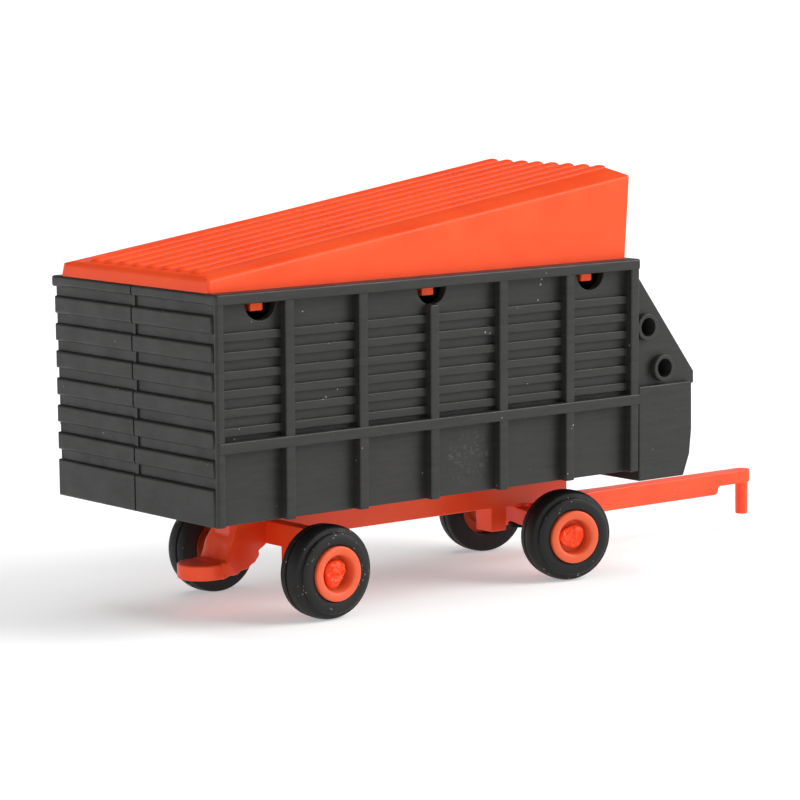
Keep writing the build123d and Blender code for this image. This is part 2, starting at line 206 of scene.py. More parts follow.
cameraData = bpy.data.cameras.new("mainCamera")
cameraData.lens = view["lens"]
cameraData.sensor_width = view["film"]
cameraData.clip_start, cameraData.clip_end = view["clip"]
camera = bpy.data.objects.new("mainCamera", cameraData)
camera.matrix_world = (Matrix.Translation(view["place"])
                       @ Matrix.Rotation(math.radians(view["turn"]), 4, "Z")
                       @ Matrix.Rotation(math.radians(view["tilt"]), 4, "X")
                       @ Matrix.Rotation(math.radians(view["roll"]), 4, "Z"))
bpy.context.scene.collection.objects.link(camera)
bpy.context.scene.camera = camera
bpy.context.scene.view_settings.view_transform = "Standard"

studio = {
    "floorHalf": 14, "floorGlow": 0.36, "paper": [(0.3, "#e6e6e6"), (0.7, "#eaeaea")],
    "sky": [(0.1, "#ffffff"), (0.3, "#9a9a9a"), (0.5, "#404040")], "skyStrength": 1.0,
    "lights": {                      # from where, spread in degrees, strength, seen in glossy surfaces
        "keyLight": ((0.75, -0.65, 0.65), 40, 2.7, True),
        "fillLight": ((-0.75, -0.5, 0.45), 50, 0.45, True),
        "overheadLight": ((0.15, 0.2, 1.1), 60, 1.35, False),
    },
}

for name, (fromWhere, spread, strength, inGloss) in studio["lights"].items():
    data = bpy.data.lights.new(name, "SUN")
    data.angle = math.radians(spread)
    data.energy = strength
    lamp = bpy.data.objects.new(name, data)
    lamp.location = fromWhere
    lamp.rotation_euler = (-Vector(fromWhere)).to_track_quat("-Z", "Y").to_euler()
    lamp.visible_glossy = inGloss
    bpy.context.scene.collection.objects.link(lamp)

world = bpy.data.worlds.new("studioWorld")
bpy.context.scene.world = world
world.use_nodes = True
tree = world.node_tree
tree.nodes.clear()
direction = addNode(tree, "ShaderNodeTexCoord").outputs["Generated"]
height = addNode(tree, "ShaderNodeSeparateXYZ", {"Vector": direction}).outputs["Z"]
sky = addNode(tree, "ShaderNodeValToRGB", {"Fac": height}, studio["sky"]).outputs["Color"]
shell = addNode(tree, "ShaderNodeBackground", {"Color": sky, "Strength": studio["skyStrength"]})
addNode(tree, "ShaderNodeOutputWorld", {"Surface": shell.outputs["Background"]})

floorMesh = bmesh.new()
bmesh.ops.create_grid(floorMesh, x_segments=1, y_segments=1, size=studio["floorHalf"])
floorData = bpy.data.meshes.new("studioFloor")
floorMesh.to_mesh(floorData)
floorMesh.free()
floor = bpy.data.objects.new("studioFloor", floorData)
bpy.context.scene.collection.objects.link(floor)
paper = bpy.data.materials.new("paleFloorPaper")
paper.use_nodes = True
tree = paper.node_tree
tree.nodes.clear()
where = addNode(tree, "ShaderNodeTexCoord").outputs["Object"]
grain = addNode(tree, "ShaderNodeTexNoise", {"Vector": where, "Scale": 40.0, "Detail": 3.0}).outputs["Fac"]
tone = addNode(tree, "ShaderNodeValToRGB", {"Fac": grain}, studio["paper"]).outputs["Color"]
matt = addNode(tree, "ShaderNodeBsdfPrincipled", {"Base Color": tone, "Roughness": 0.9})
matt.inputs["Specular IOR Level"].default_value = 0.0
matt.inputs["Emission Color"].default_value = (1, 1, 1, 1)      # a lit table, which keeps the shadows pale
matt.inputs["Emission Strength"].default_value = studio["floorGlow"]
addNode(tree, "ShaderNodeOutputMaterial", {"Surface": matt.outputs["BSDF"]})
floorData.materials.append(paper)
print("camera, floor and light done")


# ---- materials

def startMaterial(name):
    material = bpy.data.materials.new(name)
    material.use_nodes = True
    tree = material.node_tree
    tree.nodes.clear()
    return material, tree, addNode(tree, "ShaderNodeTexCoord").outputs["Object"]


def addFlecks(tree, where, base, look):
    # small round flecks over the base colour, gathered in patches
    cells = addNode(tree, "ShaderNodeTexVoronoi", {"Vector": where, "Scale": perMm(look["fleckPitch"]), "Randomness": 1.0})
    patch = addNode(tree, "ShaderNodeTexNoise", {"Vector": where, "Scale": perMm(look["patch"]), "Detail": 1.0})
    reach = addNode(tree, "ShaderNodeMapRange", {"Value": patch.outputs["Fac"], "From Min": 0.5, "From Max": 0.75,
                                                 "To Min": 0.0, "To Max": look["fleckSize"]})
    near = addNode(tree, "ShaderNodeMath", {0: cells.outputs["Distance"], 1: reach.outputs["Result"]},
                   operation="LESS_THAN")
    mixed = addNode(tree, "ShaderNodeMix", {"Factor": near.outputs["Value"], 6: base, 7: hexColour(look["fleck"])},
                    data_type="RGBA")
    return mixed.outputs[2]


def endMaterial(tree, look, colour, cloud, height, even):
    # roughness wanders with the cloud, relief follows the height, and even values go straight on the shader
    rough = addNode(tree, "ShaderNodeMapRange", {"Value": cloud, "From Min": 0.3, "From Max": 0.7,
                                                 "To Min": look["rough"][0], "To Max": look["rough"][1]})
    bump = addNode(tree, "ShaderNodeBump", {"Height": height, "Strength": look["relief"],
                                            "Distance": look["reliefDepth"] * mm})
    shader = addNode(tree, "ShaderNodeBsdfPrincipled", {"Base Color": colour, "Roughness": rough.outputs["Result"],
                                                        "Normal": bump.outputs["Normal"], **even})
    addNode(tree, "ShaderNodeOutputMaterial", {"Surface": shader.outputs["BSDF"]})


# moulded black plastic: satin, faint flow streaks along the wall, fine grain and stray light flecks
blackLook = {
    "dark": "#262625", "light": "#302f2e", "fleck": "#8c8c88", "fleckPitch": 1.3, "fleckSize": 0.11, "patch": 5.0,
    "streak": 0.7, "cloud": 3.0, "grain": 0.25, "rough": (0.36, 0.5), "gloss": 0.3, "relief": 0.4, "reliefDepth": 0.05,
}
blackPlastic, tree, where = startMaterial("satinBlackPlastic")
streakWhere = addNode(tree, "ShaderNodeMapping", {"Vector": where, "Scale": (0.12, 0.12, 1.0)}).outputs["Vector"]
streaks = addNode(tree, "ShaderNodeTexNoise", {"Vector": streakWhere, "Scale": perMm(blackLook["streak"]),
                                               "Detail": 4.0, "Roughness": 0.65}).outputs["Fac"]
base = addNode(tree, "ShaderNodeValToRGB", {"Fac": streaks}, [(0.3, blackLook["dark"]), (0.7, blackLook["light"])])
colour = addFlecks(tree, where, base.outputs["Color"], blackLook)
cloud = addNode(tree, "ShaderNodeTexNoise", {"Vector": where, "Scale": perMm(blackLook["cloud"]), "Detail": 3.0})
grain = addNode(tree, "ShaderNodeTexNoise", {"Vector": where, "Scale": perMm(blackLook["grain"]), "Detail": 3.0})

# a round spot on the right side was filed down and left rough: lighter scratches and shallow pits
filed = {"x": 42.2, "z": 19.9, "radius": 4.1, "fade": 0.8, "side": -16.9, "scrape": 0.7, "scratchAbove": 0.58,
         "scratch": "#41413f", "depth": 3.0}
flatWhere = addNode(tree, "ShaderNodeVectorMath", {0: where, 1: (1, 0, 1)}, operation="MULTIPLY").outputs["Vector"]
middle = (rearX + filed["x"] * mm, 0, filed["z"] * mm)
reach = addNode(tree, "ShaderNodeVectorMath", {0: flatWhere, 1: middle}, operation="DISTANCE").outputs["Value"]
inside = addNode(tree, "ShaderNodeMapRange", {"Value": reach, "From Min": filed["radius"] * mm,
                                              "From Max": (filed["radius"] - filed["fade"]) * mm}).outputs["Result"]
sideways = addNode(tree, "ShaderNodeSeparateXYZ", {"Vector": where}).outputs["Y"]
outside = addNode(tree, "ShaderNodeMath", {0: sideways, 1: filed["side"] * mm}, operation="LESS_THAN").outputs["Value"]
spot = addNode(tree, "ShaderNodeMath", {0: inside, 1: outside}, operation="MULTIPLY").outputs["Value"]
scrape = addNode(tree, "ShaderNodeTexNoise", {"Vector": where, "Scale": perMm(filed["scrape"]), "Detail": 4.0,
                                              "Roughness": 0.7, "Distortion": 1.0}).outputs["Fac"]
high = addNode(tree, "ShaderNodeMath", {0: scrape, 1: filed["scratchAbove"]}, operation="GREATER_THAN").outputs["Value"]
scratches = addNode(tree, "ShaderNodeMath", {0: high, 1: spot}, operation="MULTIPLY").outputs["Value"]
colour = addNode(tree, "ShaderNodeMix", {"Factor": scratches, 6: colour, 7: hexColour(filed["scratch"])},
                 data_type="RGBA").outputs[2]
scraped = addNode(tree, "ShaderNodeMath", {0: scrape, 1: spot}, operation="MULTIPLY").outputs["Value"]
pits = addNode(tree, "ShaderNodeMath", {0: scraped, 1: filed["depth"]}, operation="MULTIPLY").outputs["Value"]
surface = addNode(tree, "ShaderNodeMath", {0: grain.outputs["Fac"], 1: streaks}, operation="ADD").outputs["Value"]
relief = addNode(tree, "ShaderNodeMath", {0: surface, 1: pits}, operation="ADD").outputs["Value"]
endMaterial(tree, blackLook, colour, cloud.outputs["Fac"], relief, {"Specular IOR Level": blackLook["gloss"]})

# orange-red moulded plastic: a little light passes through it, faint scuffs
orangeLook = {"cloud": 9.0, "ripple": 0.5, "fleckPitch": 1.1, "fleckSize": 0.1, "patch": 6.0, "reliefDepth": 0.04}


def orangeFinish(name, look):
    look = {**orangeLook, **look}
    material, tree, where = startMaterial(name)
    clouds = addNode(tree, "ShaderNodeTexNoise", {"Vector": where, "Scale": perMm(look["cloud"]), "Detail": 3.0})
    cloud = clouds.outputs["Fac"]
    base = addNode(tree, "ShaderNodeValToRGB", {"Fac": cloud}, [(0.3, look["deep"]), (0.65, look["bright"])])
    colour = addFlecks(tree, where, base.outputs["Color"], look)
    ripple = addNode(tree, "ShaderNodeTexNoise", {"Vector": where, "Scale": perMm(look["ripple"]), "Detail": 3.0})
    endMaterial(tree, look, colour, cloud, ripple.outputs["Fac"],
                {"Specular IOR Level": look["gloss"], "Subsurface Weight": 0.1,
                 "Subsurface Radius": (1.0, 0.2, 0.1), "Subsurface Scale": 0.8 * mm})
    return material


# the roof is satin
orangePlastic = orangeFinish("satinOrangePlastic", {
    "deep": "#f5460e", "bright": "#fb521e", "fleck": "#ff8a62", "rough": (0.38, 0.52), "relief": 0.18, "gloss": 0.3})
# the running gear is glossier, and rippled where it was melted
gearPlastic = orangeFinish("glossyOrangePlastic", {
    "deep": "#f8441a", "bright": "#ff5426", "fleck": "#ff9a78", "rough": (0.32, 0.45), "relief": 0.4, "gloss": 0.35})
# the wheel centres are duller from handling
rimPlastic = orangeFinish("dullOrangePlastic", {
    "deep": "#da5226", "bright": "#e26038", "fleck": "#f08a68", "rough": (0.4, 0.55), "relief": 0.15, "gloss": 0.4})

# soft vinyl tyre: matt, near black, dusty flecks along the tread
tyreLook = {
    "dark": "#121212", "light": "#1b1b1a", "fleck": "#77756e", "fleckPitch": 0.6, "fleckSize": 0.26, "patch": 2.5,
    "cloud": 1.4, "grain": 0.2, "rough": (0.48, 0.64), "gloss": 0.3, "relief": 0.35, "reliefDepth": 0.04,
}
tyreVinyl, tree, where = startMaterial("softTyreVinyl")
clouds = addNode(tree, "ShaderNodeTexNoise", {"Vector": where, "Scale": perMm(tyreLook["cloud"]), "Detail": 4.0})
cloud = clouds.outputs["Fac"]
base = addNode(tree, "ShaderNodeValToRGB", {"Fac": cloud}, [(0.3, tyreLook["dark"]), (0.7, tyreLook["light"])])
colour = addFlecks(tree, where, base.outputs["Color"], tyreLook)
grain = addNode(tree, "ShaderNodeTexNoise", {"Vector": where, "Scale": perMm(tyreLook["grain"]), "Detail": 2.0})
endMaterial(tree, tyreLook, colour, cloud, grain.outputs["Fac"], {"Specular IOR Level": tyreLook["gloss"]})

# steel with turned marks
steelLook = {"cloud": 0.6, "turnMark": 0.3, "relief": 0.1, "reliefDepth": 0.02}


def steelFinish(name, look):
    look = {**steelLook, **look}
    material, tree, where = startMaterial(name)
    clouds = addNode(tree, "ShaderNodeTexNoise", {"Vector": where, "Scale": perMm(look["cloud"]), "Detail": 4.0})
    cloud = clouds.outputs["Fac"]
    base = addNode(tree, "ShaderNodeValToRGB", {"Fac": cloud}, [(0.3, look["dark"]), (0.7, look["light"])])
    turnMarks = addNode(tree, "ShaderNodeTexWave", {"Vector": where, "Scale": perMm(look["turnMark"]), "Distortion": 1.0},
                        bands_direction="Z")
    endMaterial(tree, look, base.outputs["Color"], cloud, turnMarks.outputs["Fac"], {"Metallic": 1.0})
    return material


# bright zinc plating on the screws, the same steel blacked for the kingpin
platedSteel = steelFinish("zincPlatedSteel", {"dark": "#8f9294", "light": "#b9bcbd", "rough": (0.25, 0.4)})
blackedSteel = steelFinish("blackedSteel", {"dark": "#1c1c1d", "light": "#2a2a2a", "rough": (0.35, 0.5)})
print("materials done")


# ---- box halves

box = {
    "halfWidth": 18.9, "postProud": 1.45, "wall": 1.2, "lean": 0.649, "floorThickness": 1.3,
    "postWidth": 1.5, "postFront": 72.1, "postPitch": 11.94, "postCount": 6, "cornerPost": 1.33,
    "railProud": 0.15, "railHeight": 1.5, "midRail": 9.5,
    "slatFirst": 11.51, "slatPitch": 2.44, "slatHeight": 1.18, "slatCount": 6, "slatProud": 0.55,
    "windowRadius": 2.45, "windows": (8.0, 36.1, 64.2),
    "ribProud": 0.6, "ribPitch": 3.71, "ribHeight": 2.36, "ribCount": 6, "rimHeight": 1.4, "bandGap": 1.35,
    "seam": 0.15, "screws": (27.0, 52.0), "cornerDepth": 0.85, "cornerLip": 0.5, "railRear": 0.04, "midRailRear": 0.06,
    "sunk": 0.3,                     # slats, posts and the middle rail are sunk this far into the wall
    "round": {"wall": 0.12, "corner": 0.3, "slat": 0.14, "post": 0.2, "rail": 0.3, "midRail": 0.22, "rib": 0.4},
}


def boxSide(bm, postRear):
    half = box["halfWidth"]
    face = half - box["postProud"]
    inner = face - box["wall"]
    bed = -face + box["sunk"]
    rounding = box["round"]
    railFoot = topZ - box["railHeight"]
    steps = [(box["cornerPost"] / 2, floorZ), (boxLength, floorZ), (boxLength, railFoot)]
    for centre in reversed(box["windows"]):
        steps += [(centre + box["windowRadius"], railFoot), (centre, railFoot, 180, 14)]
    steps.append((box["cornerPost"] / 2, railFoot))
    addPrism(bm, steps, (-face, -inner), rounding["wall"])
    underRail = (floorZ, topZ - 0.1)
    addBlock(bm, (postRear, box["cornerPost"]), (-half, box["cornerDepth"] - half), underRail, rounding["corner"], 3)
    addBlock(bm, (box["ribProud"] + 0.1, box["cornerPost"]), (box["cornerLip"] - half, -inner), underRail, 0.1)
    base = floorZ + box["slatFirst"]
    for row in range(box["slatCount"]):
        low = base + row * box["slatPitch"]
        addBlock(bm, (box["cornerPost"] - 0.3, boxLength - 1), (-face - box["slatProud"], bed),
                 (low, low + box["slatHeight"]), rounding["slat"])
    for number in range(box["postCount"]):
        front = box["postFront"] - number * box["postPitch"]
        high = railFoot + 0.5
        for centre in box["windows"]:
            if abs(front - box["postWidth"] / 2 - centre) < box["windowRadius"]:
                high = railFoot - box["windowRadius"] + 0.15      # posts below a window stop at its foot
        addBlock(bm, (front - box["postWidth"], front), (-half, bed), (floorZ, high), rounding["post"])
    outer = -half - box["railProud"]
    addBlock(bm, (box["railRear"], boxLength), (outer, -inner), (railFoot, topZ), rounding["rail"], 3)
    mid = floorZ + box["midRail"]
    addBlock(bm, (postRear + box["midRailRear"], boxLength), (outer, bed), (mid, mid + box["railHeight"]),
             rounding["midRail"], 3)
    bmesh.ops.rotate(bm, cent=(0, -half, floorZ), matrix=Matrix.Rotation(math.radians(box["lean"]), 3, "X"),
                     verts=bm.verts)


def rearRib(bm, low, high, edge):
    # proud band with a rounded upper ledge and a bevelled lower edge
    made = bmesh.ops.create_cube(bm, size=1)["verts"]
    depth = box["ribProud"] + box["wall"]
    bmesh.ops.scale(bm, vec=(depth, edge - box["seam"], high - low), verts=made)
    bmesh.ops.translate(bm, vec=(depth / 2, -(edge + box["seam"]) / 2, (low + high) / 2), verts=made)
    rear = [e for e in unrepeated(e for v in made for e in v.link_edges) if all(v.co.x < 0.01 for v in e.verts)]
    roundEdges(bm, [e for e in rear if not all(v.co.y > -1 for v in e.verts)], box["round"]["rib"], 4)


def rearWall(bm, edge):
    depth = box["ribProud"] + box["wall"]
    addBlock(bm, (box["ribProud"] + 0.02, depth), (-edge + 0.1, -box["seam"]), (floorZ + 0.05, topZ - 0.05), 0.0)
    rearRib(bm, topZ - box["rimHeight"], topZ, edge)
    first = topZ - box["rimHeight"] - box["bandGap"]
    for number in range(box["ribCount"]):
        high = first - number * box["ribPitch"]
        rearRib(bm, high - box["ribHeight"], high, edge)
    rearRib(bm, floorZ, first - box["ribCount"] * box["ribPitch"], edge)
    addBlock(bm, (0.4, depth), (-box["seam"] - 0.2, 0), (floorZ, topZ), 0.0)      # wall behind the seam


def boxHalf(postRear, ribEdge):
    # the right half: side, rear wall, front wall and floor
    bm = bmesh.new()
    boxSide(bm, postRear)
    rearWall(bm, ribEdge)
    face = box["halfWidth"] - box["postProud"]
    addBlock(bm, (boxLength - box["wall"], boxLength), (-face, 0), (floorZ, topZ), 0.1)
    addBlock(bm, (0.4, boxLength), (-face, 0), (floorZ, floorZ + box["floorThickness"]), 0.1)
    return bm


right = boxHalf(0.12, 18.2)             # the corner post stands further back on this half
left = boxHalf(0.6, 18.8)               # and the ribs run further out on this one
mirrorAcross(left)
addPiece(right, "bodyRightShell", blackPlastic, "wagon", ["body_right"])
addPiece(left, "bodyLeftShell", blackPlastic, "wagon", ["body_left"])
print("box done")


# ---- roof

roof = {
    "rear": 0.3, "rearLean": 0.3, "front": 71.2, "frontLean": 1.0, "footHalf": 17.34, "creaseHalf": 17.2,
    "rearHeight": 1.7, "frontHeight": 11.6, "rearRise": 0.3, "frontRise": 0.9, "shoulderFall": 0.183, "wall": 1.2,
    "ribCount": 8, "ribPitch": 3.35, "ribWidth": 2.1, "ribHeight": 0.45, "ribStart": 1.0, "ribStop": 0.1,
    "peg": 2.0, "pegDepth": 2.75, "pegOut": 16.94, "pegIn": 14.9, "pegLap": (16.2, 16.44), "rounding": (0.4, 0.75),
}


def roofShell():
    bm = bmesh.new()
    rear, front = roof["rear"], roof["front"]
    topRear, topFront = rear + roof["rearLean"], front + roof["frontLean"]
    rearCrown = roof["creaseHalf"] - roof["rearRise"] / roof["shoulderFall"]
    frontCrown = roof["creaseHalf"] - roof["frontRise"] / roof["shoulderFall"]
    for side in (-1, 1):
        for x, y, z in ((rear, roof["footHalf"], 0), (front, roof["footHalf"], 0),
                        (topRear, roof["creaseHalf"], roof["rearHeight"]),
                        (topFront, roof["creaseHalf"], roof["frontHeight"]),
                        (topRear, rearCrown, roof["rearHeight"] + roof["rearRise"]),
                        (topFront, frontCrown, roof["frontHeight"] + roof["frontRise"])):
            bm.verts.new((x, side * y, topZ + z))
    bmesh.ops.convex_hull(bm, input=bm.verts)
    bmesh.ops.dissolve_limit(bm, angle_limit=math.radians(1), verts=bm.verts, edges=bm.edges)
    bmesh.ops.recalc_face_normals(bm, faces=bm.faces)
    foot = [face for face in bm.faces if face.normal.z < -0.9]
    bmesh.ops.delete(bm, geom=foot, context="FACES_ONLY")
    edgeRound, rearRound = roof["rounding"]

    def atRearTop(edge, reach, height):
        return all(v.co.x < topRear + reach and v.co.z > topZ + height for v in edge.verts)

    roundEdges(bm, [e for e in edgesOf(bm.faces, 25) if not e.is_boundary and not atRearTop(e, 0.01, 1)], edgeRound, 3)
    rearTop = [e for e in bm.edges if atRearTop(e, 0.3, 1.2) and abs(e.verts[0].co.y - e.verts[1].co.y) > 2]
    roundEdges(bm, rearTop, rearRound, 4)
    bmesh.ops.solidify(bm, geom=bm.faces, thickness=roof["wall"])
    bmesh.ops.recalc_face_normals(bm, faces=bm.faces)

    run = topFront - topRear
    rise = roof["frontHeight"] + roof["frontRise"] - roof["rearHeight"] - roof["rearRise"]
    slope = math.atan2(rise, run)
    length = run / math.cos(slope) - roof["ribStart"] - roof["ribStop"]
    for number in range(roof["ribCount"]):
        made = bmesh.ops.create_uvsphere(bm, u_segments=18, v_segments=12, radius=roof["ribWidth"] / 2)["verts"]
        bmesh.ops.rotate(bm, cent=(0, 0, 0), matrix=Matrix.Rotation(math.radians(10), 3, "Z"), verts=made)
        bmesh.ops.scale(bm, vec=(1, 1, 2 * roof["ribHeight"] / roof["ribWidth"]), verts=made)
        bmesh.ops.translate(bm, vec=(length - roof["ribWidth"], 0, 0), verts=[v for v in made if v.co.x > 0])
        bmesh.ops.translate(bm, vec=(roof["ribStart"] + roof["ribWidth"] / 2, 0, 0), verts=made)
        bmesh.ops.rotate(bm, cent=(0, 0, 0), matrix=Matrix.Rotation(-slope, 3, "Y"), verts=made)
        y = (number - (roof["ribCount"] - 1) / 2) * roof["ribPitch"]
        bmesh.ops.translate(bm, vec=(topRear, y, topZ + roof["rearHeight"] + roof["rearRise"]), verts=made)

    railFoot = topZ - box["railHeight"]
    for side in (-1, 1):
        for centre in box["windows"]:
            x = (centre - roof["peg"] / 2, centre + roof["peg"] / 2)
            inner = sorted((side * roof["pegIn"], side * roof["pegLap"][1]))
            outer = sorted((side * roof["pegLap"][0], side * roof["pegOut"]))
            addBlock(bm, x, inner, (topZ - roof["pegDepth"], topZ + 0.6), 0.15)
            addBlock(bm, x, outer, (topZ - roof["pegDepth"], railFoot - 0.12), 0.15)
    return bm


addPiece(roofShell(), "roofShell", orangePlastic, "wagon", ["roof_cover"])
print("roof done")


# ---- front unloading unit

unit = {
    "length": 10.1, "nose": 1.35, "drop": 1.45, "housing": 13.4, "cheekInset": 1.0, "cheekTop": 27.2, "noseZ": 13.5,
    "cheekTopLength": 1.0, "bosses": ((1.8, 20.25), (4.9, 14.25)), "bossRadius": 1.9, "bossBore": 1.33, "bossProud": 1.0,
    "toe": ((1.6, 0), (0.4, 3.0), (0, 6.5)), "ribs": 6, "ribSize": (1.0, 0.9), "ribInset": 1.2,
}


def frontUnit():
    bm = bmesh.new()
    rear = boxLength + 0.02
    front = rear + unit["length"]
    half = box["halfWidth"]
    low = floorZ - unit["drop"]
    top = low + unit["housing"]
    toe = [(front - back, low + up) for back, up in unit["toe"]]
    steps = [(rear, low), *toe, (front, top), (rear, top)]
    addPrism(bm, steps, (-half, half), 0.22, 3)
    noseX = front + unit["nose"]
    noseZ = floorZ + unit["noseZ"]
    headZ = floorZ + unit["cheekTop"]
    cheekY = half - unit["cheekInset"]
    steps = [(rear, top - 0.5), (noseX, top - 0.5), (noseX, noseZ - 0.3), (rear + unit["cheekTopLength"], headZ),
             (rear, headZ)]
    addPrism(bm, steps, (-cheekY, cheekY), 0.25, 3)
    bores = []
    for x, z in unit["bosses"]:
        for side in (-1, 1):
            low, high = sorted((side * (cheekY - 0.3), side * (cheekY + unit["bossProud"])))
            addDrum(bm, unit["bossRadius"], low, high, x=rear + x, y=floorZ + z, soft=0.15, upright=False)
            low, high = sorted((side * (cheekY - 2.2), side * (cheekY + 2)))
            bores.append((unit["bossBore"], low, high, rear + x, floorZ + z))
    slopeX = noseX - rear - unit["cheekTopLength"]
    slopeZ = headZ - noseZ
    pitch = Matrix.Rotation(math.atan2(slopeZ, slopeX), 3, "Y")
    thick, tall = unit["ribSize"]
    reach = cheekY - unit["ribInset"]
    for number in range(unit["ribs"]):
        share = (number + 0.5) / unit["ribs"]
        made = bmesh.new()
        addBlock(made, (-thick / 2, thick / 2), (-reach, reach), (-tall / 2, tall / 2), 0.25, 3)
        bmesh.ops.rotate(made, cent=(0, 0, 0), matrix=pitch, verts=made.verts)
        bmesh.ops.translate(made, vec=(noseX - share * slopeX, 0, noseZ + share * slopeZ), verts=made.verts)
        joinInto(bm, made)
    return cutRound(bm, bores)


addPiece(frontUnit(), "frontUnitShell", blackPlastic, "wagon", ["front_unit"])
print("front unit done")


# ---- running gear

gear = {
    "spineHalf": 1.75, "spineLow": 8.95, "spineRear": 13.8, "spineFront": 73.7, "spineTop": 13.3,
    "rearAxle": 20.8, "frontAxle": 66.2, "steer": -12.67, "axleZ": 6.35,
    "stub": 1.2, "stubStart": 10.44, "slide": 1.26, "headStart": 15.04, "headEnd": 16.37,
    "bolster": (8.6, 11.8), "bolsterHalf": 1.0, "legStart": 5.1, "legLow": 4.75, "beam": (6.1, 8.47), "beamHalf": 1.3,
    "lug": (59.4, 62.2, 5.55), "root": 69.2, "bar": (6.0, 9.25), "barHalf": 1.25, "barTaper": 9.0,
    "pinX": 110.4, "pin": 0.98, "pinLow": 2.4, "plate": (104.5, 7.25),
    "tabX": 10.5, "tab": 3.4, "tabZ": (4.9, 7.0), "tabHole": 1.1, "screwHole": (1.16, 1.85), "kingpinHole": 1.02,
    "neck": ((1.0, 4.9), (4.0, 5.2), (6.2, 5.8), (7.5, 6.3), (8.3, 7.2), (8.1, 7.7), (9.6, 8.8),     # (ahead of tabX, z)
             (9.6, 10.0), (7.0, 14.0), (4.4, 13.6), (3.5, 11.3), (1.7, 7.2), (0.4, 7.0)),
    "neckWiden": (0.9, 8.5, 7.0), "melt": 0.16,
}
melt = {"radius": 1.72, "half": 0.5, "flatFrom": 0.8, "lobes": (0.1, 0.07), "ridges": 6.0, "ridgeWave": 1.6,
        "ridgeHeight": 0.32, "lump": 0.3}


def meltedHead(bm, side, swirl, focus):
    # end of the stub, flattened over with a hot tool that left ridges round the focus
    made = bmesh.ops.create_uvsphere(bm, u_segments=72, v_segments=48, radius=1)["verts"]
    bmesh.ops.rotate(bm, cent=(0, 0, 0), matrix=Matrix.Rotation(math.pi / 2, 3, "X"), verts=made)
    for vert in made:
        x, y, z = vert.co
        flat = max(-melt["flatFrom"], min(melt["flatFrom"], y)) / melt["flatFrom"]
        angle = math.atan2(z, x)
        reach = 1 + melt["lobes"][0] * math.sin(2 * angle + swirl) + melt["lobes"][1] * math.sin(3 * angle - swirl)
        across = math.hypot(x - focus[0], z - focus[1])
        waver = melt["ridgeWave"] * noise.noise(Vector((x * 2.2, z * 2.2, swirl)))
        ridge = (1 - abs(math.sin(melt["ridges"] * across + waver))) ** 2
        lump = noise.noise(Vector((x * 2.3 + swirl, y * 2.0, z * 2.3)))
        rise = (melt["ridgeHeight"] * ridge + melt["lump"] * lump) * max(0, flat * side)
        vert.co = Vector((x * reach * melt["radius"], melt["half"] * flat + side * rise, z * reach * melt["radius"]))
    middle = (gear["headStart"] + gear["headEnd"]) / 2
    bmesh.ops.translate(bm, vec=(0, side * middle, gear["axleZ"]), verts=made)


def addStubs(bm, swirl, focus):
    for side in (-1, 1):
        ends = sorted((side * (gear["stubStart"] - 0.5), side * (gear["headEnd"] - 0.5)))
        addDrum(bm, gear["stub"], ends[0], ends[1], y=gear["axleZ"], soft=0.1, upright=False)
        meltedHead(bm, side, swirl + side, focus)


def rippleOver(bm, depth):
    # ripples left by a hot tool
    longEdges = [e for e in bm.edges if e.calc_length() > 0.9]
    bmesh.ops.subdivide_edges(bm, edges=longEdges, cuts=6, use_grid_fill=True)
    bmesh.ops.triangulate(bm, faces=bm.faces)
    bmesh.ops.recalc_face_normals(bm, faces=bm.faces)
    bm.normal_update()
    moves = [(v, v.normal * depth * noise.noise(v.co * 0.9) + v.normal * depth * 0.4 * noise.noise(v.co * 2.2))
             for v in bm.verts]
    for vert, move in moves:
        vert.co += move


